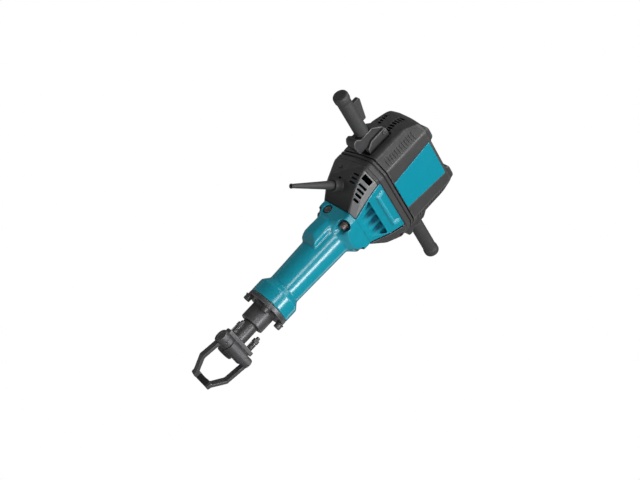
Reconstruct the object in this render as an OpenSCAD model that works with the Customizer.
// Electric demolition breaker with a hexagonal chisel socket, a swing-out retainer yoke and sprung handles.
// Millimetres. Z runs up the tool axis from the mouth of the chisel socket, the label panel faces -Y.

/* [Chisel socket] */
// Across flats of the chisel's hexagonal shank
hex_af = 28.6; // [19:0.1:32]
// Play between shank and socket, across flats
hex_fit = 0.4; // [0.2:0.1:1]
// Depth of the hexagonal socket
socket_depth = 150; // [120:1:152]

/* [Tool holder] */
// Diameter of the nose around the socket mouth
nose_d = 42; // [40:1:44]
// Height of the nose under the cross plate
nose_h = 39; // [36:1:46]
// Length of the cross plate
plate_l = 90; // [84:1:100]
// Reach of the cross plate to the front of the axis
plate_front = 29; // [27:1:34]
// Reach of the cross plate behind the axis
plate_back = 24; // [22:1:30]
// Thickness of the cross plate
plate_t = 11; // [9:1:14]
// Stem diameter
stem_d = 41; // [39:1:46]
// Free stem between cross plate and front cover
stem_l = 48; // [46:1:60]
// Diameter of the holder body inside the front cover
holder_d = 52; // [49:1:56]
// Length of the holder body
holder_l = 84; // [80:1:90]

/* [Retainer] */
// Turn of the retainer about the tool axis, degrees
retainer_turn = 16; // [0:1:30]
// Distance of the yoke pivot in front of the tool axis
pivot_offset = 41; // [41:1:48]
// Height of the yoke pivot above the socket mouth
pivot_z = 20; // [17:1:20]
// Diameter of the pivot sleeve and the yoke bosses
sleeve_d = 35; // [32:1:36]
// Length of the pivot sleeve
sleeve_l = 55; // [48:1:56]
// Sideways shift of the sleeve's middle
sleeve_shift = -4.5; // [-5:0.5:0]
// Pivot shaft diameter
pivot_d = 16; // [14:1:20]
// Distance between the two retainer studs
stud_gap = 62; // [60:1:66]
// Distance of the studs in front of the tool axis
stud_front = 18; // [16:1:19]
// Stud diameter
stud_d = 10; // [8:0.5:11]
// Thickness of the slab that holds the studs
slab_t = 9; // [8:0.5:9.5]
// Nut width across flats
nut_af = 15; // [13:0.5:16]
// Nut height
nut_h = 10; // [8:0.5:12]
// Stud end above the nut
stud_tip = 7.5; // [4:0.5:9]
// Fitted length of a retainer spring
spring_l = 20; // [18:0.5:21]
// Wire of a retainer spring
spring_wire = 2.2; // [1.8:0.1:2.3]
// Curls of a retainer spring
spring_curls = 4; // [3:1:4]

/* [Yoke] */
// Width of the yoke over its legs
yoke_w = 101; // [98:1:106]
// Sideways shift of the yoke's middle
yoke_shift = -6.5; // [-9:0.5:-5]
// Diameter of the right ear
ear_d = 29; // [26:1:32]
// Leg thickness
yoke_leg_t = 8; // [7:0.5:8.5]
// Leg depth, front to back
yoke_depth = 22; // [18:1:26]
// Pivot to the underside of the yoke's bar
yoke_drop = 110; // [104:1:120]
// Height of the yoke's bar
yoke_bar_h = 16; // [14:1:20]
// Width of the yoke over its bar
yoke_bar_w = 57; // [56:1:64]
// Pivot to the bend of the legs
yoke_bend = 66; // [60:1:70]
// Lean of the yoke towards the tool axis, degrees
yoke_lean = 13; // [10:1:14]
// Width of the shank notch in the bar
notch_d = 36; // [34:1:38]

/* [Front cover] */
// Neck diameter
neck_d = 64; // [60:1:70]
// Neck height
neck_h = 50; // [46:1:56]
// Inner lip that the holder body stands on
lip_h = 8; // [6:1:12]
// Diameter of the cover flange and the barrel flange
flange_d = 114; // [112:1:120]
// Cover flange thickness
cover_flange_t = 12; // [10:1:16]
// Bolt circle of the front cover
front_circle = 100; // [94:1:100]

/* [Barrel] */
// Barrel length between front cover and crank housing
barrel_l = 288; // [282:1:292]
// Barrel diameter at its lower end
barrel_d_low = 87; // [84:1:92]
// Barrel diameter at its upper end
barrel_d_high = 96; // [94:1:100]
// Height of the lower flange's straight rim
flange_rim = 37; // [34:1:42]
// Height of the cone above the rim
flange_cone = 17; // [12:1:20]
// Height of the square upper flange
square_h = 57; // [55:1:59]
// Distance of the square flange's sides from its bolts
square_edge = 19.5; // [18:0.5:21]
// Chamfer of the square flange's corners
square_chamfer = 14; // [12:1:16]
// Distance between neighbouring bolts of the upper flange
bolt_square = 84; // [82:1:90]
// Height of the bolts' seats above the square flange's underside
pocket_h = 35; // [33:1:37]
// Width of the window beside a bolt's head
window_w = 26; // [24:1:27]
// Height of the window beside a bolt's head
window_h = 16; // [14:1:18]
// Reach of the side bulge to the front
bulge_front = 22; // [20:1:26]
// Reach of the side bulge to the rear
bulge_back = 29; // [24:1:32]
// Reach of the side bulge from the tool axis
bulge_reach = 65; // [60:1:67]
// Length of the side bulge below the square flange
bulge_l = 36; // [30:1:60]

/* [Bolts] */
// Thread diameter of the large bolts
bolt_d = 12; // [10:1:14]
// Head diameter of the large bolts
head_d = 18; // [16:1:20]
// Head height of the large bolts
head_h = 12; // [10:1:13]
// Washer thickness
washer_t = 2.5; // [1.5:0.5:3]
// Play of a bolt in its hole, on the radius
bolt_fit = 0.15; // [0.1:0.05:0.4]
// Grip length of a bolt in the next casting
thread_l = 28; // [20:1:30]

/* [Hammer] */
// Outer diameter of the cylinder liner
liner_d = 72; // [70:1:74]
// Cylinder bore
bore_d = 60; // [56:1:62]
// Sliding play on the radius of striker, piston and impact bolt
slide_fit = 0.3; // [0.3:0.05:0.5]
// Height of the impact bolt's guide
guide_h = 41; // [40:1:46]
// Height of the neck above the guide
throat_h = 30; // [26:1:34]
// Collar diameter of the impact bolt
collar_d = 44; // [40:1:46]
// Collar length of the impact bolt
collar_l = 25; // [20:1:26]
// Room under the collar for the idle stroke
idle_stroke = 10; // [10:0.5:12]
// Shank diameter of the impact bolt below its collar
impact_d = 30; // [29.5:0.1:31]
// Tip diameter of the impact bolt, free in the hexagon
impact_tip_d = 26; // [22:1:27]
// Stem diameter of the impact bolt above its collar
impact_stem_d = 28; // [24:1:30]
// Striker length
striker_l = 46; // [40:1:48]
// Gap between striker and impact bolt at rest
striker_gap = 12; // [10:1:13]
// Piston length under its pin
piston_low = 24; // [22:1:25]
// Piston length over its pin
piston_high = 21; // [20:1:24]
// Rubber ring thickness
ring_t = 4; // [3:0.5:5]

/* [Crank] */
// Height of the crank axis above the barrel's upper end
crank_rise = 52; // [51:1:53]
// Crank throw
throw = 26; // [24:1:27]
// Connecting rod length between centres
rod_l = 99; // [98:1:101]
// Piston pin diameter
gudgeon_d = 14; // [12:1:16]
// Crank pin diameter
crank_pin_d = 24; // [22:1:25]
// Journal diameter
journal_d = 28; // [26:1:30]
// Connecting rod width
rod_w = 16; // [14:1:17]
// Crank web thickness
web_t = 10.5; // [9:0.5:11]
// Bearing width on the crankshaft
crank_bearing_w = 12; // [10:1:12]
// Bearing outer diameter on the crankshaft
crank_bearing_d = 60; // [56:1:62]
// Bevel gear diameter
bevel_gear_d = 58; // [54:1:58]
// Bevel pinion diameter
bevel_pinion_d = 20; // [16:1:20]

/* [Gear train] */
// Teeth on the motor pinion
pinion_teeth = 10; // [9:1:12]
// Teeth on the first gear
gear_teeth = 41; // [38:1:44]
// Distance between motor axis and countershaft
gear_centre = 46; // [46:0.5:48]
// Gear face width
gear_face = 9; // [7:0.5:10]
// Countershaft diameter
counter_d = 18; // [16:1:19]
// Bearing outer diameter on motor shaft and countershaft
shaft_bearing_d = 34; // [32:1:36]

/* [Motor] */
// Motor shaft diameter
shaft_d = 16; // [14:1:17]
// Armature core diameter
core_d = 56; // [52:1:57]
// Length of armature core and field core
core_l = 60; // [50:1:62]
// Outer diameter of the motor can
can_d = 116; // [112:1:120]
// Wall of the motor can
can_wall = 3.5; // [3:0.5:4]
// Height of the motor can
can_h = 140; // [138:1:146]
// Fan diameter
fan_d = 102; // [90:1:104]
// Fan height
fan_h = 16; // [12:1:17]
// Fan blades
fan_blades = 15; // [9:1:21]
// Commutator diameter
commutator_d = 36; // [32:1:38]
// Commutator length
commutator_l = 22; // [20:1:24]
// Air gap on the radius
air_gap = 0.8; // [0.6:0.1:1.5]
// Brush width
brush_w = 8; // [6:0.5:9]
// Brush height
brush_h = 12; // [10:1:14]

/* [Casing] */
// Width of the casing at its corners
body_w = 262; // [256:1:270]
// Width of the flat front
front_w = 180; // [172:1:188]
// Reach of the casing to the front
body_front = 73.5; // [71:0.5:78]
// Reach of the casing to the rear
body_rear = 102; // [98:1:110]
// Width across the rear
rear_w = 184; // [176:1:196]
// Depth of the front corner chamfers
corner_depth = 26; // [20:1:32]
// Plastic wall
wall = 4; // [3:0.5:5]
// Height of the crank housing above the barrel
housing_h = 100; // [98:1:102]
// Height of the gear plate's seat above the seam
band_h = 20; // [18:1:22]
// Height of the crank housing's foot inside the covers
foot_h = 16; // [14:1:18]
// Half width of the teal front at the seam
vee_top = 88; // [80:1:92]
// Half width of the teal front at the foot
vee_low = 45; // [43:1:50]
// Gap between neighbouring casing pieces
joint_gap = 0.6; // [0.4:0.1:1]
// Gap between the teal front and a louvre
louvre_gap = 3; // [1:0.5:4]
// Reach of a louvre round the casing's corner at its top, in diagonal view
louvre_top = 57; // [52:1:58]
// Reach of a louvre round the casing's corner at its foot, in diagonal view
louvre_low = 15; // [12:1:18]
// Slots in a louvre
louvre_slots = 4; // [3:1:5]
// Ribs in the front recess
recess_ribs = 4; // [3:1:5]
// Height of the seam gasket
gasket_h = 28; // [27:1:30]
// Height of the gasket's plain band below its grooves
gasket_band = 14; // [12:1:15]
// Height of the motor cover
cover_h = 170; // [168:1:178]
// Rounding of the motor cover's top
dome_r = 40; // [30:1:48]
// Vent slots in each row
vent_slots = 7; // [5:1:8]
// Vent slot height
vent_h = 4; // [3:0.5:5]
// Thickness of the gear plate
gear_plate_t = 8; // [7:1:10]
// Label panel thickness
panel_t = 2.5; // [2:0.5:3]
// Depth of the label panel's seat
panel_seat = 1.5; // [1:0.25:2]
// Label panel width at its top
panel_w_top = 117; // [108:1:122]
// Label panel width at its foot
panel_w_low = 93; // [86:1:100]
// Label panel height
panel_h = 136; // [126:1:138]
// Screw thread diameter
screw_d = 5; // [4:0.5:6]
// Screw head diameter
screw_head_d = 10; // [8:0.5:11]

/* [Cord guard] */
// Guard length
guard_l = 130; // [110:1:140]
// Guard diameter at its foot
guard_d = 22; // [20:1:25]
// Guard diameter at its tip
guard_tip_d = 10.5; // [10:0.5:13]
// Diameter of the cord hole
cord_d = 8; // [7:0.5:8.5]
// Slope of the guard below the horizontal, degrees
guard_slope = 43; // [35:1:50]

/* [Handles] */
// Width over both grips
handle_span = 618; // [600:1:640]
// Height of the handle axis above the motor cover's rim
handle_rise = 28; // [26:1:32]
// Grip diameter
grip_d = 36; // [34:0.5:38]
// Flare diameter at the grip's end
flare_d = 40; // [38:0.5:42]
// Handle tube diameter
tube_d = 26; // [24:0.5:27]
// Handle tube wall
tube_wall = 2.5; // [2:0.25:3]
// Bracket inner face from the tool axis
bracket_x = 143; // [142:1:148]
// Bracket thickness along the handle
bracket_t = 32; // [28:1:36]
// Bracket width, front to back
bracket_w = 34; // [30:1:36]
// Handle pin above the handle axis
hinge_rise = 42; // [38:1:44]
// Handle pin diameter
hinge_d = 8; // [6:0.5:9]
// Eye diameter around the handle pin
eye_d = 19; // [17:0.5:20]
// Thickness of a lug beside the bracket
lug_t = 6; // [5:0.5:8]
// Wire of a handle spring
damper_wire = 2.6; // [2:0.1:3]
// Diameter of a handle spring at its wire's middle
damper_d = 16; // [14:0.5:18]
// Curls of a handle spring
damper_curls = 6; // [4:1:6]
// Lever length
lever_l = 62; // [54:1:66]
// Lever thickness
lever_t = 11; // [9:0.5:12]
// Lever height above the grip at its inner end
lever_low = 9; // [7:1:12]
// Lever height above the grip at its outer end
lever_high = 20; // [16:1:22]
// Distance of the lever's inner end from the bracket
lever_start = 27; // [20:1:30]

/* [Hidden] */
$fn = 64;

// Small working values
eps = 0.01;
big = 600;
seat = 0.3;
run_fit = 0.1;

// Heights of the stacked pieces
z_plate = nose_h;
z_stem = z_plate + plate_t;
z_cover = z_stem + stem_l;
z_holder = z_cover + lip_h;
z_flange = z_cover + neck_h;
z_barrel = z_flange + cover_flange_t;
z_holder_top = z_holder + holder_l;
z_ledge = z_holder_top + 1;
z_split = z_barrel + barrel_l;
z_skirt = z_split + joint_gap;
z_seam = z_split + housing_h;
z_deck = z_seam + band_h;
z_rim = z_seam + gasket_h;
z_top = z_rim + cover_h;
z_crank = z_split + crank_rise;
z_handle = z_rim + handle_rise;
z_hinge = z_handle + hinge_rise;
z_gear_plate = z_deck + gear_plate_t;

// Hammer heights
liner_rise = 4;
z_liner_top = z_split + liner_rise;
z_guide = z_ledge + guide_h;
z_chamber = z_guide + throat_h;
z_collar = z_holder_top + idle_stroke;
impact_proud = 10;
z_impact_top = z_chamber + impact_proud;
z_striker = z_impact_top + striker_gap;
z_gudgeon = z_crank - throw - rod_l;

// Crank places along X
web_in = rod_w / 2 + 1.2;
web_out = web_in + web_t;
bearing_in = web_out + 2;
bearing_out = bearing_in + crank_bearing_w;
bevel_in = bearing_out + 0.6;
bevel_w = 8.5;
chamber_half = bearing_in;
chamber_front = body_front - 27;
chamber_back = body_rear - 22;

// Gear sizes
gear_module = 2 * gear_centre / (pinion_teeth + gear_teeth);
z_gear = z_deck - 23;
gear_gap = 2;
z_boss = z_gear + gear_face + gear_gap;
bevel_clear = 0.8;

// Motor heights
z_fan = z_gear_plate + 6;
z_core = z_fan + fan_h + 14;
z_core_top = z_core + core_l;
coil_end = 9.5;
z_commutator = z_core_top + coil_end + 2.5;
z_can_top = z_gear_plate + can_h;
z_upper_bearing = z_can_top - 4;
bearing_h = 12;
can_in = can_d / 2 - can_wall;

// Retainer heights
z_nut = z_stem + spring_l;
z_slab = z_plate - seat - slab_t;
boss_gap = 0.5;
ear_proud = 6;
boss_in = sleeve_shift - sleeve_l / 2 - boss_gap;
boss_out = sleeve_shift + sleeve_l / 2 + boss_gap;

// Lever places
lever_in = bracket_x + bracket_t + lever_start;
lever_out = lever_in + lever_l;
lever_pin_x = lever_in + 4;
lever_pin_z = z_handle + tube_d / 2 - 0.5;
lever_pin_d = 3.6;
slot_play = 1.2;

// Handle pocket in the motor cover
pocket_x = 112;
pocket_half = bracket_w / 2 + lug_t + 4;
pocket_low = z_rim + 4;
pocket_high = z_hinge + eye_d / 2 + 4;

// Unit vector of a 2D vector
function unit(v) = v / norm(v);

// Points of a convex outline whose corners [x, y, r] are rounded, each by an arc of steps
function rounded(c, steps = 6) = [
    for (i = [0 : len(c) - 1])
        let (
            n = len(c),
            p = [c[i][0], c[i][1]],
            a = c[(i + n - 1) % n],
            b = c[(i + 1) % n],
            u = unit([a[0], a[1]] - p),
            v = unit([b[0], b[1]] - p),
            half = acos(u * v) / 2,
            r = c[i][2],
            m = p + unit(u + v) * r / sin(half),
            t = r / tan(half),
            p0 = p + u * t,
            p1 = p + v * t,
            a0 = atan2(p0[1] - m[1], p0[0] - m[0]),
            turn = atan2(p1[1] - m[1], p1[0] - m[0]) - a0,
            sweep = turn > 180 ? turn - 360 : turn < -180 ? turn + 360 : turn
        )
        each r == 0 ? [p] : [for (k = [0 : steps]) m + r * [cos(a0 + sweep * k / steps),
            sin(a0 + sweep * k / steps)]]
];

// Mirrors a half outline, listed from bottom to top on the +X side, into a whole one
function both_sides(h) = concat(h, [for (i = [len(h) - 1 : -1 : 0]) [-h[i][0], h[i][1], h[i][2]]]);

// Extrudes an XZ outline along Y, or a YZ outline along X
module along_y(y0, y1) { translate([0, y1, 0]) rotate([90, 0, 0]) linear_extrude(y1 - y0) children(); }
module along_x(x0, x1) { translate([x0, 0, 0]) rotate([90, 0, 90]) linear_extrude(x1 - x0) children(); }

// Cylinders along X and Y
module rod_x(d, x0, x1) { translate([x0, 0, 0]) rotate([0, 90, 0]) cylinder(d = d, h = x1 - x0); }
module rod_y(d, y0, y1) { translate([0, y1, 0]) rotate([90, 0, 0]) cylinder(d = d, h = y1 - y0); }

// Ring around Z
module ring(d_out, d_in, z0, z1) {
    translate([0, 0, z0]) difference() {
        cylinder(d = d_out, h = z1 - z0);
        translate([0, 0, -eps]) cylinder(d = d_in, h = z1 - z0 + 2 * eps);
    }
}

// Hexagonal prism, width given across flats
module hexagon(af, h) { rotate(30) cylinder(d = af / cos(30), h = h, $fn = 6); }

// Socket-head bolt with its washer, pointing up, standing on the washer's upper face
module socket_bolt(l, head = head_h) {
    difference() {
        union() {
            translate([0, 0, -washer_t]) cylinder(d = head_d + 4, h = washer_t);
            translate([0, 0, -washer_t - head]) cylinder(d = head_d, h = head);
            cylinder(d = bolt_d, h = l);
        }
        translate([0, 0, -washer_t - head - eps]) hexagon(bolt_d - 2, head / 2);
    }
}

// Places children at the four corners of a square
module at_square(s) { for (x = [-1, 1], y = [-1, 1]) translate([x * s / 2, y * s / 2, 0]) children(); }

// One unbroken tube along points, with its rings square to the path
function path_dir(p, i) = unit(p[min(i + 1, len(p) - 1)] - p[max(i - 1, 0)]);
module tube_path(p, d, sides = 6) {
    n = len(p);
    verts = [
        for (i = [0 : n - 1])
            let (t = path_dir(p, i), s = unit(cross(t, [p[i][0], p[i][1], 0.001])), w = cross(s, t))
            for (k = [0 : sides - 1])
                p[i] + d / 2 * (cos(360 * k / sides) * s + sin(360 * k / sides) * w)
    ];
    walls = [
        for (i = [0 : n - 2], k = [0 : sides - 1])
            let (a = i * sides + k, b = i * sides + (k + 1) % sides)
            each [[a, a + sides, b], [b, a + sides, b + sides]]
    ];
    ends = [
        for (k = [1 : sides - 2])
            each [[0, k, k + 1], [(n - 1) * sides, (n - 1) * sides + k + 1, (n - 1) * sides + k]]
    ];
    polyhedron(points = verts, faces = concat(walls, ends));
}

// Points of a spring around Z from 0 to l, with straight ends one wire thick
curl_steps = 8;
function coil(l, d, wire, curls) = concat(
    [[d / 2, 0, 0]],
    [for (i = [0 : curls * curl_steps])
        [d / 2 * cos(360 * i / curl_steps), d / 2 * sin(360 * i / curl_steps),
            wire + (l - 2 * wire) * i / (curls * curl_steps)]],
    [[d / 2, 0, l]]
);

// Least gap of a coil to itself, between points more than half a curl apart
function coil_gap(p, wire) = min([
    for (i = [0 : len(p) - 1], j = [0 : len(p) - 1])
        if (j - i > curl_steps / 2) norm(p[i] - p[j])
]) - wire;

retainer_coil = coil(spring_l - 2 * seat, stud_d + 2 * spring_wire + 0.6, spring_wire, spring_curls);
damper_l = bracket_x - pocket_x - 2 * seat;
damper_coil = coil(damper_l, damper_d, damper_wire, damper_curls);
echo(retainer_spring_gap = coil_gap(retainer_coil, spring_wire),
    handle_spring_gap = coil_gap(damper_coil, damper_wire));

// Spur gear outline with straight-flanked teeth, thinned for running play
tooth_tip = 0.8;
tooth_root = 1.15;
function gear_points(n, m, turn = 0) = [
    for (i = [0 : n - 1], q = [[-0.32, -1], [-0.12, 1], [0.12, 1], [0.32, -1]])
        let (r = m * n / 2 + m * (q[1] > 0 ? tooth_tip : -tooth_root), a = turn + 360 / n * (i + q[0]))
        r * [cos(a), sin(a)]
];

// Bevel wheel around Z with its teeth on the upper cone
module bevel(d, h, rise, teeth, bore) {
    difference() {
        rotate_extrude() polygon([[bore / 2, 0], [d / 2, 0], [d / 2, h - rise], [d * 0.31, h],
            [bore / 2, h]]);
        for (i = [0 : teeth - 1])
            rotate(360 / teeth * i)
                translate([d * 0.36, -d / teeth * 0.7, h - rise - 0.4])
                    cube([d, d / teeth * 1.4, h]);
    }
}

// Ball bearing around Z: inner and outer ring with shields between them
module bearing(d_out, d_in, h) {
    mid = (d_out + d_in) / 2;
    difference() {
        cylinder(d = d_out, h = h);
        translate([0, 0, -eps]) cylinder(d = d_in, h = h + 2 * eps);
        for (z = [-eps, h - 1]) translate([0, 0, z]) difference() {
            cylinder(d = mid + 5, h = 1 + eps);
            translate([0, 0, -eps]) cylinder(d = mid - 5, h = 1 + 3 * eps);
        }
    }
}

// Retainer frame: X along the pivot, -Y to the front
module in_retainer() { rotate(-retainer_turn) children(); }

module tool_holder() {
    color("dimgray") difference() {
        union() {
            translate([0, 0, 3]) cylinder(d = nose_d, h = nose_h - 3 + eps);
            cylinder(d1 = nose_d - 5, d2 = nose_d, h = 3);
            in_retainer() translate([0, 0, z_plate]) linear_extrude(plate_t) polygon(rounded([
                [plate_l / 2, -plate_front, 4], [plate_l / 2, -9, 6], [plate_l / 4, plate_back, 14],
                [-plate_l / 4, plate_back, 14], [-plate_l / 2, -9, 6], [-plate_l / 2, -plate_front, 4]]));
            translate([0, 0, z_stem - eps]) cylinder(d = stem_d, h = z_holder - z_stem + 2 * eps);
            translate([0, 0, z_holder]) cylinder(d = holder_d, h = holder_l);
        }
        translate([0, 0, -eps]) hexagon(hex_af + hex_fit, socket_depth + eps);
        translate([0, 0, -eps]) cylinder(d1 = hex_af + 6, d2 = hex_af, h = 3);
        translate([0, 0, socket_depth - eps]) cylinder(d = impact_d + 2 * slide_fit, h = big);
        in_retainer() for (x = [-1, 1])
            translate([x * stud_gap / 2, -stud_front, z_plate - eps])
                cylinder(d = stud_d + 2 * seat, h = plate_t + 2 * eps);
    }
}

module retainer_block() {
    ear_w = 9;
    color("dimgray") in_retainer() difference() {
        union() {
            translate([0, -pivot_offset, pivot_z])
                rod_x(sleeve_d, sleeve_shift - sleeve_l / 2, sleeve_shift + sleeve_l / 2);
            translate([0, 0, z_slab]) linear_extrude(slab_t) polygon(rounded([
                [stud_gap / 2 + ear_w, -stud_front - 7.5, 4], [stud_gap / 2 + ear_w, -stud_front + 8, 7],
                [-stud_gap / 2 - ear_w, -stud_front + 8, 7], [-stud_gap / 2 - ear_w, -stud_front - 7.5, 4]]));
            translate([sleeve_shift - sleeve_l / 2, -pivot_offset, pivot_z + 2])
                cube([sleeve_l, pivot_offset - stud_front, z_slab + slab_t - pivot_z - 2]);
        }
        translate([0, 0, -big / 2]) cylinder(d = nose_d + 1.2, h = big);
        translate([0, -pivot_offset, pivot_z]) rod_x(pivot_d + 2 * run_fit, -big / 2, big / 2);
        for (x = [-1, 1])
            translate([x * stud_gap / 2, -stud_front, z_slab + 2]) cylinder(d = stud_d + run_fit, h = slab_t);
    }
}

module retainer_bolts() {
    color("gray") in_retainer() for (x = [-1, 1])
        translate([x * stud_gap / 2, -stud_front, z_slab + 2]) {
            l = z_nut + nut_h + stud_tip - z_slab - 2;
            cylinder(d = stud_d, h = l - 1.5);
            translate([0, 0, l - 1.5]) cylinder(d1 = stud_d, d2 = stud_d - 3, h = 1.5);
        }
}

module retainer_nuts() {
    color("gray") in_retainer() for (x = [-1, 1])
        translate([x * stud_gap / 2, -stud_front, z_nut]) difference() {
            union() {
                cylinder(d = nut_af + 2.5, h = washer_t);
                translate([0, 0, washer_t]) hexagon(nut_af, nut_h - washer_t);
            }
            translate([0, 0, -eps]) cylinder(d = stud_d + run_fit, h = nut_h + 2 * eps);
        }
}

module retainer_springs() {
    color("silver") in_retainer() for (x = [-1, 1])
        translate([x * stud_gap / 2, -stud_front, z_stem + seat]) tube_path(retainer_coil, spring_wire);
}

module pivot_shaft() {
    color("gray") in_retainer() translate([0, -pivot_offset, pivot_z])
        rod_x(pivot_d, yoke_shift - yoke_w / 2 - ear_proud + 1, yoke_shift + yoke_w / 2 - 1);
}

module yoke() {
    half = yoke_w / 2;
    inner = half - yoke_leg_t;
    low = yoke_bar_w / 2;
    lean = yoke_leg_t / 2;
    pad = 4;
    notch_back = 8;
    x0 = yoke_shift - half;
    x1 = yoke_shift + half;
    color("dimgray") in_retainer() translate([0, -pivot_offset, pivot_z]) rotate([yoke_lean, 0, 0])
        difference() {
        union() {
            translate([yoke_shift, 0, 0]) along_y(-yoke_depth / 2, yoke_depth / 2) difference() {
                polygon(rounded(both_sides([[low, -yoke_drop, 3], [low + 1, -yoke_drop + 9, 4],
                    [half, -yoke_bend, 8], [half, 0, 0]])));
                polygon(rounded(both_sides([[low - lean, -yoke_drop + yoke_bar_h, 4],
                    [inner, -yoke_bend + 3, 6], [inner, 1, 0]])));
            }
            rod_x(sleeve_d + 1, x0 - ear_proud, x0 + yoke_leg_t);
            rod_x(sleeve_d, x0 - ear_proud, boss_in);
            rod_x(ear_d, boss_out, x1);
        }
        rod_x(pivot_d + run_fit, x0 - ear_proud - eps, x1 + eps);
        translate([yoke_shift, yoke_depth / 2 + notch_back, -yoke_drop - eps])
            cylinder(d = notch_d, h = yoke_bar_h + 2 * eps);
        translate([yoke_shift - low + 10, -yoke_depth / 2 - eps, -yoke_drop - eps])
            cube([2 * low - 19, pad + eps, yoke_bar_h + 9]);
        for (x = [x0 + yoke_leg_t + 4, x1 - 4]) translate([x, 0, 0]) rod_y(3, -big / 2, 0);
    }
}

module front_cover() {
    color("#4a4a4c") difference() {
        union() {
            translate([0, 0, z_cover + 2]) cylinder(d = neck_d, h = neck_h);
            translate([0, 0, z_cover]) cylinder(d1 = neck_d - 4, d2 = neck_d, h = 2);
            translate([0, 0, z_flange - 6]) cylinder(d1 = neck_d, d2 = neck_d + 10, h = 6 + eps);
            translate([0, 0, z_flange]) cylinder(d = flange_d, h = cover_flange_t);
        }
        translate([0, 0, z_cover - eps]) cylinder(d = stem_d + 2 * seat, h = big);
        translate([0, 0, z_holder]) cylinder(d = holder_d + 2 * seat, h = big);
        rotate(45) for (a = [0 : 90 : 270]) rotate(a)
            translate([front_circle / 2, 0, z_flange - eps])
                cylinder(d = bolt_d + 2 * bolt_fit, h = cover_flange_t + 2 * eps);
    }
}

module front_bolts() {
    color("gray") rotate(45) for (a = [0 : 90 : 270]) rotate(a)
        translate([front_circle / 2, 0, z_flange]) socket_bolt(cover_flange_t + thread_l);
}

// Square upper flange: half its width, distance of a corner's facet from the axis, and its outline
square_half = bolt_square / 2 + square_edge;
flange_facet = (2 * square_half - square_chamfer) / sqrt(2);
function square_outline() = let (h = square_half, c = h - square_chamfer, r = 3)
    rounded([[h, -c, r], [h, c, r], [c, h, r], [-c, h, r], [-h, c, r], [-h, -c, r], [-c, -h, r], [c, -h, r]]);

// Screw plug in the square flange's left side, Z along the plug, zero at its seat
plug_y = 22;
plug_drop = 17;
plug_depth = 8.5;
plug_l = 8;
module at_plug() {
    translate([-square_half + plug_depth, plug_y, z_split - plug_drop]) rotate([0, 90, 0]) children();
}

module barrel() {
    z_square = z_split - square_h;
    z_cone = z_barrel + flange_rim;
    under_h = 38;
    end_l = 15;
    r_high = barrel_d_high / 2;
    bulge_top = z_square + under_h / 2;
    r_out = square_half * sqrt(2);
    color("#00a0b0") difference() {
        union() {
            rotate_extrude() polygon([[0, z_barrel], [flange_d / 2, z_barrel], [flange_d / 2, z_cone],
                [barrel_d_low / 2, z_cone + flange_cone], [r_high, z_square], [r_high, z_split],
                [0, z_split]]);
            intersection() {
                translate([0, 0, z_square]) linear_extrude(square_h) polygon(square_outline());
                rotate_extrude() polygon([[0, z_square], [r_high - 2, z_square], [r_out, z_square + under_h],
                    [r_out, z_split], [0, z_split]]);
            }
            intersection() {
                along_y(-bulge_front, bulge_back) polygon([[0, z_square - bulge_l - end_l - 20],
                    [-bulge_reach + end_l, z_square - bulge_l - end_l - 4],
                    [-bulge_reach, z_square - bulge_l], [-bulge_reach, bulge_top], [0, bulge_top]]);
                linear_extrude(z_split) polygon(rounded([[0, -bulge_front, 0],
                    [-bulge_reach + 11, -bulge_front, 3],
                    [-bulge_reach, -bulge_front + 15, 4], [-bulge_reach, bulge_back, 10],
                    [0, bulge_back, 0]]));
            }
        }
        translate([0, 0, z_barrel - 1]) cylinder(d = holder_d + 2 * seat + 0.2, h = z_ledge - z_barrel + 2);
        translate([0, 0, z_ledge]) cylinder(d = liner_d + 2 * run_fit, h = z_split - z_ledge + 1);
        rotate(45) for (a = [0 : 90 : 270]) rotate(a)
            translate([front_circle / 2, 0, z_barrel - 1])
                cylinder(d = bolt_d + 2 * bolt_fit, h = thread_l + 2);
        at_square(bolt_square) {
            translate([0, 0, z_square - 1]) cylinder(d = bolt_d + 2 * bolt_fit, h = square_h + 2);
            translate([0, 0, z_square - 1]) cylinder(d = head_d + 5, h = pocket_h + 1);
        }
        for (a = [45 : 90 : 315]) rotate(a)
            translate([bolt_square / sqrt(2), -window_w / 2, z_square + pocket_h - window_h])
                cube([40, window_w, window_h]);
        at_plug() {
            translate([0, 0, -big]) cylinder(d = head_d + 8, h = big);
            cylinder(d = bolt_d + 2 * bolt_fit, h = plug_l + 1);
        }
    }
}

module barrel_bolts() {
    color("#5a3a30") {
        at_square(bolt_square)
            translate([0, 0, z_split - square_h + pocket_h]) socket_bolt(square_h - pocket_h + foot_h - 4);
        at_plug() socket_bolt(plug_l, head_h / 3);
    }
}

module cylinder_liner() {
    color("silver") difference() {
        translate([0, 0, z_ledge]) cylinder(d = liner_d, h = z_liner_top - z_ledge);
        translate([0, 0, z_ledge - eps]) cylinder(d = collar_d + 2 * slide_fit, h = guide_h + eps);
        translate([0, 0, z_ledge]) cylinder(d = impact_stem_d + 2 * slide_fit, h = big);
        translate([0, 0, z_chamber]) cylinder(d = bore_d, h = big);
    }
}

module impact_bolt() {
    z_tip = socket_depth + 2;
    tip_l = 20;
    color("gray") {
        translate([0, 0, z_tip]) cylinder(d = impact_tip_d, h = tip_l + eps);
        translate([0, 0, z_tip + tip_l]) cylinder(d = impact_d, h = z_collar - z_tip - tip_l + eps);
        translate([0, 0, z_collar]) cylinder(d = collar_d, h = collar_l);
        translate([0, 0, z_collar + collar_l - eps])
            cylinder(d = impact_stem_d, h = z_impact_top - z_collar - collar_l + eps);
    }
}

slider_d = bore_d - 2 * slide_fit;
groove_d = slider_d - 2 * ring_t;

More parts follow.
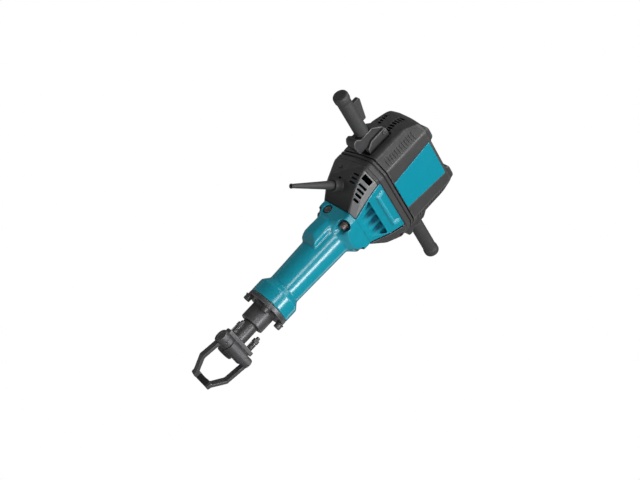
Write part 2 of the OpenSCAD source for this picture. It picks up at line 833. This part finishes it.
module striker() {
    color("silver") translate([0, 0, z_striker]) difference() {
        union() {
            cylinder(d1 = slider_d - 6, d2 = slider_d, h = 3);
            translate([0, 0, 3]) cylinder(d = slider_d, h = striker_l - 3);
        }
        ring(bore_d + 4, groove_d, striker_l * 0.6, striker_l * 0.6 + ring_t);
    }
}

module striker_ring() {
    color("#202020") translate([0, 0, z_striker + striker_l * 0.6])
        ring(slider_d, groove_d + run_fit, run_fit, ring_t - run_fit);
}

module piston() {
    color("silver") translate([0, 0, z_gudgeon]) difference() {
        translate([0, 0, -piston_low]) cylinder(d = slider_d, h = piston_low + piston_high);
        translate([-rod_w / 2 - 1.5, -slider_d / 3, -gudgeon_d])
            cube([rod_w + 3, slider_d / 1.5, gudgeon_d + piston_high + eps]);
        rod_x(gudgeon_d + run_fit, -big / 2, big / 2);
        translate([0, 0, -piston_low]) ring(bore_d + 4, groove_d, ring_t, 2 * ring_t);
    }
}

module piston_ring() {
    color("#202020") translate([0, 0, z_gudgeon - piston_low + ring_t])
        ring(slider_d, groove_d + run_fit, run_fit, ring_t - run_fit);
}

module piston_pin() {
    color("gray") translate([0, 0, z_gudgeon]) difference() {
        rod_x(gudgeon_d, -slider_d / 2 + 3, slider_d / 2 - 3);
        rod_x(gudgeon_d / 2, -big / 2, big / 2);
    }
}

module connecting_rod() {
    eye = gudgeon_d + 10;
    big_eye = crank_pin_d + 14;
    color("darkgray") difference() {
        union() {
            translate([0, 0, z_gudgeon]) rod_x(eye, -rod_w / 2, rod_w / 2);
            translate([0, 0, z_gudgeon + rod_l]) rod_x(big_eye, -rod_w / 2, rod_w / 2);
            along_x(-rod_w / 2 + 2, rod_w / 2 - 2) polygon([[-eye * 0.35, z_gudgeon], [eye * 0.35, z_gudgeon],
                [big_eye * 0.35, z_gudgeon + rod_l], [-big_eye * 0.35, z_gudgeon + rod_l]]);
        }
        translate([0, 0, z_gudgeon]) rod_x(gudgeon_d + run_fit, -rod_w, rod_w);
        translate([0, 0, z_gudgeon + rod_l]) rod_x(crank_pin_d + run_fit, -rod_w, rod_w);
    }
}

module crankshaft() {
    weight_d = 68;
    color("gray") translate([0, 0, z_crank]) {
        for (s = [0, 1]) mirror([s, 0, 0]) {
            rod_x(journal_d + 10, web_in, web_out);
            translate([0, 0, -throw]) rod_x(crank_pin_d + 8, web_in, web_out);
            translate([web_in, -crank_pin_d / 2 - 4, -throw]) cube([web_t, crank_pin_d + 8, throw]);
            intersection() {
                rod_x(weight_d, web_in, web_out);
                translate([0, -weight_d / 2, 8]) cube([web_out, weight_d, weight_d]);
            }
            translate([web_in, -journal_d / 2, 0]) cube([web_t, journal_d, 12]);
        }
        translate([0, 0, -throw]) rod_x(crank_pin_d, -web_in - eps, web_in + eps);
        rod_x(journal_d, web_out - eps, bevel_in + bevel_w + 0.5);
        rod_x(journal_d, -bearing_out - 1, -web_out + eps);
    }
}

module crank_bearings() {
    color("lightgray") translate([0, 0, z_crank]) for (x = [bearing_in, -bearing_out])
        translate([x, 0, 0]) rotate([0, 90, 0])
            bearing(crank_bearing_d, journal_d + run_fit, crank_bearing_w);
}

module bevel_gear() {
    color("darkgray") translate([bevel_in, 0, z_crank]) rotate([0, 90, 0])
        bevel(bevel_gear_d, 4.2, 2.6, 24, journal_d + run_fit);
}

z_bevel = z_crank + bevel_gear_d / 2 + bevel_clear;

module countershaft() {
    color("gray") translate([gear_centre, 0, 0]) {
        translate([0, 0, z_bevel]) cylinder(d = counter_d / 2, h = z_gear - z_bevel);
        translate([0, 0, z_gear - 2]) cylinder(d = counter_d, h = z_gear_plate - z_gear + 1);
    }
}

module bevel_pinion() {
    bevel_h = z_gear - 2.5 - z_bevel;
    color("darkgray") translate([gear_centre, 0, z_bevel + bevel_h]) mirror([0, 0, 1])
        bevel(bevel_pinion_d, bevel_h, bevel_h * 0.7, 8, counter_d / 2 + run_fit);
}

module first_gear() {
    color("darkgray") translate([gear_centre, 0, z_gear]) difference() {
        linear_extrude(gear_face) polygon(gear_points(gear_teeth, gear_module, 180));
        translate([0, 0, -eps]) cylinder(d = counter_d + run_fit, h = gear_face + 2 * eps);
        for (a = [0 : 60 : 300]) rotate(a) translate([gear_centre * 0.5, 0, -eps])
            cylinder(d = 11, h = gear_face + 2 * eps);
    }
}

module armature_shaft() {
    color("gray") {
        translate([0, 0, z_gear]) linear_extrude(gear_face)
            polygon(gear_points(pinion_teeth, gear_module, 180 / pinion_teeth));
        translate([0, 0, z_gear + gear_face - eps])
            cylinder(d = gear_module * (pinion_teeth - 3), h = gear_gap + 2 * eps);
        translate([0, 0, z_boss]) cylinder(d = shaft_d, h = z_upper_bearing + bearing_h - z_boss);
    }
}

module armature_core() {
    slots = 12;
    color("dimgray") translate([0, 0, z_core]) difference() {
        cylinder(d = core_d, h = core_l);
        translate([0, 0, -eps]) cylinder(d = shaft_d + run_fit, h = core_l + 2 * eps);
        for (i = [0 : slots - 1]) rotate(360 / slots * i)
            translate([core_d / 2 - 5, -1.5, -eps]) cube([8, 3, core_l + 2 * eps]);
    }
}

module armature_coils() {
    color("#b87333") for (z = [z_core - coil_end, z_core_top])
        ring(core_d - 6, shaft_d + run_fit, z + run_fit, z + coil_end - run_fit);
}

module commutator() {
    bars = 24;
    color("#b87333") translate([0, 0, z_commutator]) difference() {
        ring(commutator_d, shaft_d + run_fit, 0, commutator_l);
        for (i = [0 : bars - 1]) rotate(360 / bars * i)
            translate([commutator_d / 2 - 2, -0.4, -eps]) cube([4, 0.8, commutator_l + 2 * eps]);
    }
}

module fan() {
    hub_d = shaft_d + 14;
    disc_t = 3;
    color("#303030") translate([0, 0, z_fan]) difference() {
        union() {
            cylinder(d = hub_d, h = fan_h);
            translate([0, 0, fan_h - disc_t]) cylinder(d = fan_d, h = disc_t);
            for (i = [0 : fan_blades - 1]) rotate(360 / fan_blades * i)
                translate([fan_d / 4, -1, 0]) cube([fan_d / 4 - 1, 2, fan_h - disc_t + eps]);
        }
        translate([0, 0, -eps]) cylinder(d = shaft_d + run_fit, h = fan_h + 2 * eps);
    }
}

module shaft_bearings() {
    color("lightgray") {
        translate([0, 0, z_gear_plate - bearing_h])
            bearing(shaft_bearing_d, shaft_d + 2 * run_fit, bearing_h);
        translate([0, 0, z_upper_bearing]) bearing(shaft_bearing_d, shaft_d + 2 * run_fit, bearing_h);
        translate([gear_centre, 0, z_gear_plate - bearing_h])
            bearing(shaft_bearing_d, counter_d + 2 * run_fit, bearing_h);
    }
}

module field_core() {
    yoke_in = can_in - 9.5;
    shoe_in = core_d / 2 + air_gap;
    shoe_out = shoe_in + 5;
    neck = 16;
    color("dimgray") translate([0, 0, z_core]) linear_extrude(core_l) union() {
        difference() {
            circle(can_in - run_fit);
            circle(yoke_in);
        }
        for (s = [0, 1]) mirror([0, s]) {
            difference() {
                intersection() {
                    circle(shoe_out);
                    polygon([[0, 0], [big, big * 0.8], [-big, big * 0.8]]);
                }
                circle(shoe_in);
            }
            translate([-neck, shoe_in + 2.2]) square([2 * neck, yoke_in - shoe_in]);
        }
    }
}

module field_coils() {
    neck = 16;
    shoe_out = core_d / 2 + air_gap + 5;
    yoke_in = can_in - 9.5;
    over = 6;
    color("#b87333") for (s = [0, 1]) mirror([0, s, 0]) difference() {
        translate([0, 0, z_core - over]) linear_extrude(core_l + 2 * over) difference() {
            intersection() {
                circle(yoke_in - run_fit);
                polygon([[0, 0], [big, big * 0.8], [-big, big * 0.8]]);
            }
            circle(shoe_out + run_fit);
        }
        translate([-neck - run_fit, 0, z_core - run_fit])
            cube([2 * neck + 2 * run_fit, big, core_l + 2 * run_fit]);
    }
}

z_brush = z_commutator + commutator_l / 2;
brush_box = 3;

module brush_holders() {
    color("#c8a048") for (s = [0, 1]) mirror([s, 0, 0]) difference() {
        translate([commutator_d / 2 + 2, -brush_w / 2 - brush_box, z_brush - brush_h / 2 - brush_box])
            cube([can_in - run_fit - commutator_d / 2 - 5, brush_w + 2 * brush_box, brush_h + 2 * brush_box]);
        translate([0, -brush_w / 2 - run_fit, z_brush - brush_h / 2 - run_fit])
            cube([can_in - 8, brush_w + 2 * run_fit, brush_h + 2 * run_fit]);
    }
}

module carbon_brushes() {
    brush_l = 22;
    color("#303030") for (s = [0, 1]) mirror([s, 0, 0])
        translate([commutator_d / 2 + seat, -brush_w / 2, z_brush - brush_h / 2])
            cube([brush_l, brush_w, brush_h]);
}

module motor_can() {
    cup_d = shaft_bearing_d + 6;
    windows = 8;
    top_t = 4;
    color("silver") difference() {
        union() {
            ring(can_d, 2 * can_in, z_gear_plate, z_can_top);
            ring(can_d, shaft_d + 6, z_can_top - top_t - 4, z_can_top - 4);
            ring(cup_d, shaft_d + 6, z_can_top - top_t - 4, z_upper_bearing + bearing_h);
        }
        translate([0, 0, z_upper_bearing]) cylinder(d = shaft_bearing_d + run_fit, h = big);
        for (i = [0 : windows - 1]) rotate(360 / windows * i)
            translate([0, -14, z_gear_plate + 5]) cube([can_d, 28, fan_h]);
        for (i = [0 : windows - 1]) rotate(360 / windows * i)
            translate([can_d / 4 + 4, -6, z_can_top - top_t - 5]) cube([14, 12, top_t + 2]);
    }
}

module gear_plate() {
    boss_d = shaft_bearing_d + 8;
    color("lightgray") difference() {
        union() {
            translate([0, 0, z_deck]) linear_extrude(gear_plate_t) polygon(plan(wall + 3));
            for (x = [0, gear_centre])
                translate([x, 0, z_boss]) cylinder(d = boss_d, h = z_deck - z_boss + eps);
        }
        for (x = [0, gear_centre]) translate([x, 0, 0]) {
            translate([0, 0, z_boss - eps]) cylinder(d = shaft_bearing_d - 6, h = big);
            translate([0, 0, z_gear_plate - bearing_h]) cylinder(d = shaft_bearing_d + run_fit, h = big);
        }
    }
}

module controller() {
    box_l = 52;
    box_h = 64;
    box_in = can_d / 2 + 4;
    box_out = pocket_x - wall - 3;
    color("#303030") translate([-box_out, -box_l / 2, z_gear_plate]) {
        cube([box_out - box_in, box_l, box_h]);
        for (i = [0 : 4]) translate([4 + 6 * i, 4, box_h - eps]) cube([3, box_l - 8, 8]);
    }
}

// Plan outline of the casing, drawn in by o
function plan(o = 0, steps = 6) = rounded([
    [front_w / 2 - o * 0.6, -body_front + o, 16], [body_w / 2 - o, -body_front + corner_depth + o * 0.4, 15],
    [body_w / 2 - 11 - o, body_rear * 0.1, 120], [rear_w / 2 - o * 0.9, body_rear - o, 34],
    [-rear_w / 2 + o * 0.9, body_rear - o, 34], [-body_w / 2 + 11 + o, body_rear * 0.1, 120],
    [-body_w / 2 + o, -body_front + corner_depth + o * 0.4, 15], [-front_w / 2 + o * 0.6, -body_front + o, 16]
], steps);

// Lower casing: plan, front view, side view and both diagonal views cut a funnel down to the square flange
funnel_shoulder = 20;
funnel_waist = 71;
diagonal_top = 131;
function front_funnel(o) = both_sides([
    [square_half - o, z_split, 0], [body_w / 2 - 20 - o, z_deck - funnel_waist, 60],
    [body_w / 2 - o, z_deck - funnel_shoulder, 26], [body_w / 2 - o, z_deck + 1, 0]]);
function side_funnel(o) = [
    [-square_half + o, z_split, 0], [-body_front + 6 + o, z_deck - 66, 40], [-body_front + 2 + o, z_seam, 0],
    [-body_front + o, z_deck + 1, 0], [body_rear - o, z_deck + 1, 0],
    [body_rear - o, z_deck - funnel_shoulder, 30],
    [body_rear - 20 - o, z_deck - funnel_waist, 60], [square_half - o, z_split, 0]];
function diagonal_funnel(o) = both_sides([
    [flange_facet - o, z_split, 0], [diagonal_top - 24 - o, z_deck - 80, 50],
    [diagonal_top - o, z_deck - funnel_shoulder, 40], [diagonal_top - o, z_deck + 1, 0]]);

module lower_body(o, top = z_seam) {
    intersection() {
        translate([0, 0, z_split]) linear_extrude(top - z_split) polygon(plan(o));
        along_y(-big / 2, big / 2) polygon(rounded(front_funnel(o)));
        along_x(-big / 2, big / 2) polygon(rounded(side_funnel(o)));
        rotate(45) along_y(-big / 2, big / 2) polygon(rounded(diagonal_funnel(o)));
        rotate(-45) along_y(-big / 2, big / 2) polygon(rounded(diagonal_funnel(o)));
    }
}

// Front view of the teal middle, widened by g
function vee(g) = both_sides([[vee_low + g, z_split - 1, 0], [vee_top - 18 + g, z_deck - 63, 60],
    [vee_top + g, z_deck + 1, 0]]);

module crank_housing() {
    recess_top = z_deck - 69;
    recess_low = z_deck - 115;
    recess_in = 17;
    rib_d = 23;
    rib_pitch = 27;
    frame_w = 106;
    frame_h = 20;
    frame_side = 8;
    z_frame = z_deck - 38;
    inside = 9;
    collar = wall + 3;
    color("#00a0b0") difference() {
        union() {
            intersection() {
                lower_body(0);
                along_y(-big / 2, big / 2) polygon(rounded(vee(0)));
            }
            intersection() {
                translate([0, 0, z_seam - 1]) linear_extrude(band_h + 1) polygon(plan(collar));
                along_y(-big / 2, big / 2) polygon(rounded(vee(0)));
            }
            lower_body(wall + joint_gap, z_split + foot_h);
            translate([0, -body_front + 4, 0]) along_y(-3.6, 0) difference() {
                polygon([[-frame_w / 2, z_frame - frame_h / 2], [frame_w / 2, z_frame - frame_h / 2],
                    [frame_w / 2 + 6, z_frame + frame_h / 2], [-frame_w / 2 - 6, z_frame + frame_h / 2]]);
                polygon([[-frame_w / 2 + frame_side, z_frame - frame_h / 2 + 5],
                    [frame_w / 2 - frame_side, z_frame - frame_h / 2 + 5],
                    [frame_w / 2 + 9 - frame_side, z_frame + frame_h],
                    [-frame_w / 2 - 9 + frame_side, z_frame + frame_h]]);
            }
        }
        intersection() {
            lower_body(inside, z_deck + 1);
            translate([-chamber_half, -chamber_front, z_liner_top])
                cube([2 * chamber_half, chamber_front + chamber_back, big]);
        }
        for (s = [0, 1]) mirror([s, 0, 0]) intersection() {
            side_inside();
            translate([bearing_out, -chamber_front - 4, z_split + foot_h])
                cube([big, chamber_front + 4 + chamber_back, big]);
        }
        translate([-chamber_half, -gear_centre, z_gear - 3]) cube([big, 2 * gear_centre, big]);
        translate([0, 0, z_crank]) rod_x(crank_bearing_d + run_fit, -bearing_out - 1, bearing_out + 1);
        translate([0, 0, z_split - 1]) cylinder(d = liner_d + 2 * run_fit, h = liner_rise + 2);
        at_square(bolt_square) translate([0, 0, z_split - 1])
            cylinder(d = bolt_d + 2 * bolt_fit, h = foot_h - 2);
        difference() {
            intersection() {
                along_x(-big / 2, big / 2) polygon([[-big / 2, recess_low], [-body_front + 10, recess_low],
                    [-body_front + recess_in, recess_top - 16], [-body_front + recess_in, recess_top],
                    [-big / 2, recess_top + 4]]);
                along_y(-big / 2, 0) polygon([[-26, recess_low], [26, recess_low],
                    [vee_top - 26, recess_top], [vee_top - 26, recess_top + 8],
                    [-vee_top + 26, recess_top + 8], [-vee_top + 26, recess_top]]);
            }
            for (i = [0 : recess_ribs - 1])
                translate([(i - (recess_ribs - 1) / 2) * rib_pitch, -body_front + recess_in + 5,
                    recess_low - 20])
                    cylinder(d = rib_d, h = big);
        }
    }
}

// Room beside the bearing walls, open to the side and kept off the front and the rear
module side_inside() {
    along_x(0, big) polygon(rounded(side_funnel(9)));
}

// Region of a louvre in diagonal view, widened by g and held off the teal middle by a gap
z_louvre_top = z_seam - 9;
module louvre_region(g, gap) {
    difference() {
        rotate(45) along_y(-big / 2, 0) polygon([[-big / 2, z_split], [louvre_low + g, z_split],
            [(louvre_low + louvre_top) / 2 + 3 + g, z_deck - 79], [louvre_top + g, z_louvre_top - 3],
            [louvre_top + g, z_louvre_top + g], [-big / 2, z_louvre_top + g]]);
        along_y(-big / 2, big / 2) polygon(rounded(vee(gap)));
    }
}

module louvre() {
    slot_w = 15;
    slot_h = 5.5;
    opening_h = 14.5;
    color("#6c6c6c") difference() {
        intersection() {
            difference() {
                lower_body(0);
                lower_body(wall);
            }
            louvre_region(0, louvre_gap);
            translate([0, -big / 2, z_skirt]) cube([big, big, big]);
        }
        rotate(45) for (i = [0 : louvre_slots])
            translate([louvre_low - 1.5 + 2 * i, -big / 2,
                z_deck - 94 + 10.5 * i + (i == louvre_slots ? 4 : 0)])
                cube([slot_w + 3 * i, big / 2 - 40, i == louvre_slots ? opening_h : slot_h]);
    }
}

module left_louvre() { mirror([1, 0, 0]) louvre(); }
module right_louvre() { louvre(); }

// Side cover on the +X side: shell of the lower casing beside the teal middle and its louvre
module side_cover() {
    difference() {
        intersection() {
            difference() {
                lower_body(0);
                lower_body(wall);
            }
            translate([0, -big / 2, z_skirt]) cube([big, big, big]);
        }
        along_y(-big / 2, big / 2) polygon(rounded(vee(joint_gap)));
        louvre_region(joint_gap, 0);
        for (i = [0 : 2])
            translate([body_w / 2 - 40, -body_front + 33, z_deck - 47 - 10 * i]) cube([60, 21, 4]);
        screw_holes();
    }
}

module screw_holes() {
    at_cover_screws() {
        translate([0, 0, -12]) cylinder(d = screw_d + 2 * bolt_fit, h = big);
        translate([0, 0, -1]) cylinder(d = screw_head_d + 1, h = big);
    }
}

// Screw places on a side cover, Z along the screw, zero at the depth of the head's seat
screw_places = [[-4, 38, -43], [-17, 14, -71]];
module at_cover_screws() {
    for (p = screw_places)
        translate([body_w / 2 - 13 + p[0], p[1], z_deck + p[2]]) rotate([0, 90, 0]) children();
}

// Axis of the cord guard, Z along the guard, zero at the boss face
guard_y = 10;
guard_x = 116;
guard_z = z_deck - 98;
module at_guard() { translate([-guard_x, guard_y, guard_z]) rotate([0, -90 - guard_slope, 0]) children(); }

module left_side_cover() {
    boss_l = 34;
    color("#3a3a3c") difference() {
        union() {
            mirror([1, 0, 0]) side_cover();
            difference() {
                intersection() {
                    at_guard() translate([0, 0, -boss_l]) cylinder(d = guard_d + 14, h = boss_l);
                    translate([-big, -big / 2, z_skirt]) cube([big - 70, big, big]);
                }
                lower_body(wall);
            }
        }
        at_guard() translate([0, 0, -10]) cylinder(d = guard_d + 2 * run_fit, h = big);
        at_guard() translate([0, 0, -big / 2]) cylinder(d = cord_d + 2, h = big);
        mirror([1, 0, 0]) screw_holes();
    }
}

module right_side_cover() { color("#3a3a3c") side_cover(); }

module cord_guard() {
    foot_l = 9;
    bead = 4;
    color("#333335") at_guard() difference() {
        union() {
            translate([0, 0, -foot_l]) cylinder(d = guard_d, h = foot_l + 8);
            translate([0, 0, 8]) cylinder(d1 = guard_d, d2 = guard_tip_d, h = guard_l - 8);
            translate([0, 0, guard_l - bead]) cylinder(d = guard_tip_d + 2, h = bead);
        }
        translate([0, 0, -foot_l - eps]) cylinder(d = cord_d, h = guard_l + foot_l + 1);
    }
}

module seam_gasket() {
    groove = 3.5;
    inset = 5;
    color("#2a2a2c") difference() {
        union() {
            translate([0, 0, z_seam]) linear_extrude(gasket_h) polygon(plan(inset));
            translate([0, 0, z_seam]) linear_extrude(gasket_band) polygon(plan(0));
            translate([0, 0, z_seam + gasket_band + groove])
                linear_extrude(gasket_h - gasket_band - 2 * groove) polygon(plan(0));
        }
        translate([0, 0, z_seam - 1]) linear_extrude(gasket_h + 2) polygon(plan(wall + 2.8));
    }
}

// Motor cover outline in front view, side view and diagonal view
front_drop = 25;
function cover_front(o) = both_sides([[body_w / 2 + 0.5 - o, z_rim - 1, 0],
    [body_w / 2 - 4 - o, z_top - 62, dome_r],
    [body_w / 2 - 22 - o, z_top - 24 - o / 2, dome_r], [body_w / 2 - 58 - o, z_top - o, dome_r]]);
function cover_side(o) = [
    [-body_front + o, z_rim - 1, 0], [-body_front + o, z_top - front_drop - o, 7], [0, z_top - 6 - o, 120],
    [body_rear - 40 - o, z_top - o, dome_r], [body_rear - 8 - o, z_top - 34 - o / 2, dome_r],
    [body_rear - o, z_top - 80, dome_r], [body_rear - o, z_rim - 1, 0]];
function cover_diagonal(o) = both_sides([[diagonal_top - o, z_rim - 1, 0],
    [diagonal_top - 3 - o, z_top - 66, dome_r],
    [diagonal_top - 14 - o, z_top - 28 - o / 2, dome_r / 2], [diagonal_top - 43 - o, z_top - o, dome_r / 2]]);

module cover_body(o, z0) {
    intersection() {
        translate([0, 0, z0]) linear_extrude(cover_h * 2) polygon(plan(o));
        along_y(-big / 2, big / 2) polygon(rounded(cover_front(o)));
        along_x(-big / 2, big / 2) polygon(rounded(cover_side(o)));
        rotate(45) along_y(-big / 2, big / 2) polygon(rounded(cover_diagonal(o)));
        rotate(-45) along_y(-big / 2, big / 2) polygon(rounded(cover_diagonal(o)));
    }
}

module handle_pocket(g) {
    translate([pocket_x - g, -pocket_half - g, pocket_low - g])
        cube([60, 2 * pocket_half + 2 * g, pocket_high - pocket_low + 2 * g]);
}

// Tall cheeks on both sides of a handle bracket, with the eyes for its pin
module handle_lugs() {
    low = pocket_low + 5;
    tip = bracket_x + eye_d / 2;
    for (s = [0, 1]) mirror([0, s, 0]) {
        y0 = bracket_w / 2 + 0.6;
        along_y(y0, y0 + lug_t) difference() {
            union() {
                polygon(rounded([[pocket_x - 1, low, 0], [bracket_x - 4, low, 5], [tip, low + 20, 6],
                    [tip, z_hinge, 0], [bracket_x, z_hinge + eye_d / 2, 0],
                    [pocket_x - 1, z_hinge + eye_d / 2, 0]]));
                translate([bracket_x, z_hinge]) circle(d = eye_d);
            }
            translate([bracket_x, z_hinge]) circle(d = hinge_d + run_fit);
        }
    }
}

// Label panel outline in front view, drawn in by o
function panel_outline(o) = let (z0 = z_rim + 1) rounded(both_sides([
    [panel_w_low / 2 - o, z0 + o, 2], [panel_w_top / 2 - o, z0 + panel_h - o, 2]]));

module vent_rows() {
    pitch = 8;
    row_z = z_top - 36 - (vent_slots - 1) * pitch;
    for (i = [0 : vent_slots - 1]) {
        translate([body_w / 2 - 60, -16, row_z + pitch * i]) cube([80, 21, vent_h]);
        if (i < vent_slots - 1)
            translate([body_w / 2 - 60, 42, row_z + pitch * i]) cube([80, 18, vent_h]);
    }
}

module motor_cover() {
    post_w = 50;
    post_rise = 12;
    post_in = 14;
    color("#3a3a3c") difference() {
        union() {
            difference() {
                union() {
                    cover_body(0, z_rim);
                    intersection() {
                        for (s = [0, 1]) mirror([s, 0, 0]) translate([front_w / 2 - post_in, 0, 0])
                            along_y(-body_front + 4, -body_front + 44) polygon(rounded([
                                [-post_w / 2, z_top - 60, 0], [post_w / 2, z_top - 60, 0],
                                [post_w / 2 - 2, z_top - front_drop + post_rise, 16],
                                [-post_w / 2 + 2, z_top - front_drop + post_rise, 9]]));
                        translate([0, 0, z_rim]) linear_extrude(big) polygon(plan(3));
                    }
                }
                difference() {
                    cover_body(wall, z_rim - 1);
                    for (s = [0, 1]) mirror([s, 0, 0]) handle_pocket(wall);
                }
            }
            for (s = [0, 1]) mirror([s, 0, 0]) handle_lugs();
        }
        for (s = [0, 1]) mirror([s, 0, 0]) {
            difference() {
                handle_pocket(0);
                handle_lugs();
            }
            vent_rows();
        }
        translate([0, -body_front + panel_seat, 0]) along_y(-20, 0) polygon(panel_outline(-0.3));
    }
}

module label_panel() {
    color("#00a0b0") translate([0, -body_front + panel_seat, 0]) along_y(-panel_t, 0)
        polygon(panel_outline(0));
}

module cover_screws() {
    color("gray") for (s = [0, 1]) mirror([s, 0, 0]) at_cover_screws() {
        translate([0, 0, -11]) cylinder(d = screw_d, h = 10 + eps);
        translate([0, 0, -1]) difference() {
            cylinder(d = screw_head_d, h = 4);
            translate([0, 0, 2]) hexagon(screw_d, 3);
        }
    }
}

// Handle bracket on the +X side
module handle_bracket() {
    foot_low = z_handle - 44;
    step = bracket_t;
    difference() {
        union() {
            along_y(-bracket_w / 2, bracket_w / 2) polygon(rounded([
                [bracket_x, foot_low + 4, 3], [bracket_x + step - 6, foot_low, 6],
                [bracket_x + step + 8, foot_low + 6, 6],
                [bracket_x + step + 9, foot_low + 16, 4], [bracket_x + step, z_handle - grip_d / 2 - 2, 0],
                [bracket_x + step, z_handle + 22, 8], [bracket_x + 8, z_hinge + 9, 6],
                [bracket_x, z_hinge + 2, 0]]));
            translate([bracket_x, 0, z_hinge]) rod_y(eye_d, -bracket_w / 2, bracket_w / 2);
        }
        translate([bracket_x, 0, z_hinge]) rod_y(hinge_d + 2 * run_fit, -bracket_w, bracket_w);
        translate([0, 0, z_handle]) rod_x(tube_d + run_fit, bracket_x + 8, big);
    }
}

module handle_tube() {
    translate([0, 0, z_handle]) difference() {
        rod_x(tube_d, bracket_x + 8.2, handle_span / 2 - 6);
        rod_x(tube_d - 2 * tube_wall, -big, big);
    }
}

module grip() {
    end_l = 24;
    grip_in = bracket_x + bracket_t + 0.5;
    grip_out = handle_span / 2;
    translate([0, 0, z_handle]) difference() {
        rotate([0, 90, 0]) rotate_extrude() polygon([[0, grip_in], [grip_d / 2 - 1, grip_in],
            [grip_d / 2, grip_in + 1],
            [grip_d / 2, grip_out - end_l], [flare_d / 2, grip_out - end_l + 7], [flare_d / 2, grip_out - 6],
            [flare_d / 2 - 1.8, grip_out - 1.8], [flare_d / 2 - 6, grip_out], [0, grip_out]]);
        rod_x(tube_d + run_fit, -big, grip_out - 5);
    }
}

module lever_slot(g) {
    translate([lever_in - 3, -lever_t / 2 - g, z_handle]) cube([lever_l + 8, lever_t + 2 * g, grip_d]);
}

module lever_pin_hole() {
    translate([lever_pin_x, 0, lever_pin_z]) rod_y(lever_pin_d + 2 * run_fit, -13, 13);
}

module left_handle_bracket() { color("#55585a") mirror([1, 0, 0]) handle_bracket(); }
module right_handle_bracket() { color("#55585a") handle_bracket(); }

module left_handle_tube() {
    color("silver") mirror([1, 0, 0]) difference() {
        handle_tube();
        lever_slot(slot_play);
        lever_pin_hole();
    }
}

module right_handle_tube() { color("silver") handle_tube(); }

module left_grip() {
    color("#333335") mirror([1, 0, 0]) difference() {
        grip();
        lever_slot(slot_play);
        lever_pin_hole();
    }
}

module right_grip() { color("#333335") grip(); }

module switch_lever() {
    top = z_handle + grip_d / 2;
    color("#2c2c2e") mirror([1, 0, 0]) {
        along_y(-lever_t / 2, lever_t / 2) polygon(rounded([
            [lever_in, lever_pin_z - 2, 2], [lever_out, lever_pin_z - 1, 2],
            [lever_out, top + lever_high - 4, 3], [lever_out - 4, top + lever_high, 3],
            [lever_in, top + lever_low, 3]]));
        translate([lever_pin_x, 0, lever_pin_z]) rod_y(lever_pin_d, -lever_t / 2 - 5, lever_t / 2 + 5);
    }
}

module trigger_switch() {
    box_l = 24;
    box_half = 5.5;
    color("#8a2020") mirror([1, 0, 0]) translate([lever_in + lever_l * 0.4, -box_half, z_handle - 8.2])
        cube([box_l, 2 * box_half, 8]);
}

module handle_spring() {
    translate([pocket_x + seat, 0, z_handle - 4]) rotate([0, 90, 0]) tube_path(damper_coil, damper_wire);
}

module left_handle_spring() { color("silver") mirror([1, 0, 0]) handle_spring(); }
module right_handle_spring() { color("silver") handle_spring(); }

module handle_pins() {
    pin_half = bracket_w / 2 + 0.6 + lug_t;
    color("gray") for (s = [-1, 1]) translate([s * bracket_x, 0, z_hinge]) {
        rod_y(hinge_d, -pin_half, pin_half);
        rod_y(hinge_d + 5, -pin_half - 3, -pin_half);
    }
}

tool_holder();
retainer_block();
retainer_bolts();
retainer_nuts();
retainer_springs();
pivot_shaft();
yoke();
front_cover();
front_bolts();
barrel();
barrel_bolts();
cylinder_liner();
impact_bolt();
striker();
striker_ring();
piston();
piston_ring();
piston_pin();
connecting_rod();
crankshaft();
crank_bearings();
bevel_gear();
countershaft();
bevel_pinion();
first_gear();
armature_shaft();
armature_core();
armature_coils();
commutator();
fan();
shaft_bearings();
field_core();
field_coils();
brush_holders();
carbon_brushes();
motor_can();
gear_plate();
controller();
crank_housing();
left_side_cover();
right_side_cover();
left_louvre();
right_louvre();
cord_guard();
seam_gasket();
motor_cover();
label_panel();
cover_screws();
left_handle_bracket();
left_handle_tube();
left_grip();
switch_lever();
trigger_switch();
left_handle_spring();
right_handle_bracket();
right_handle_tube();
right_grip();
right_handle_spring();
handle_pins();
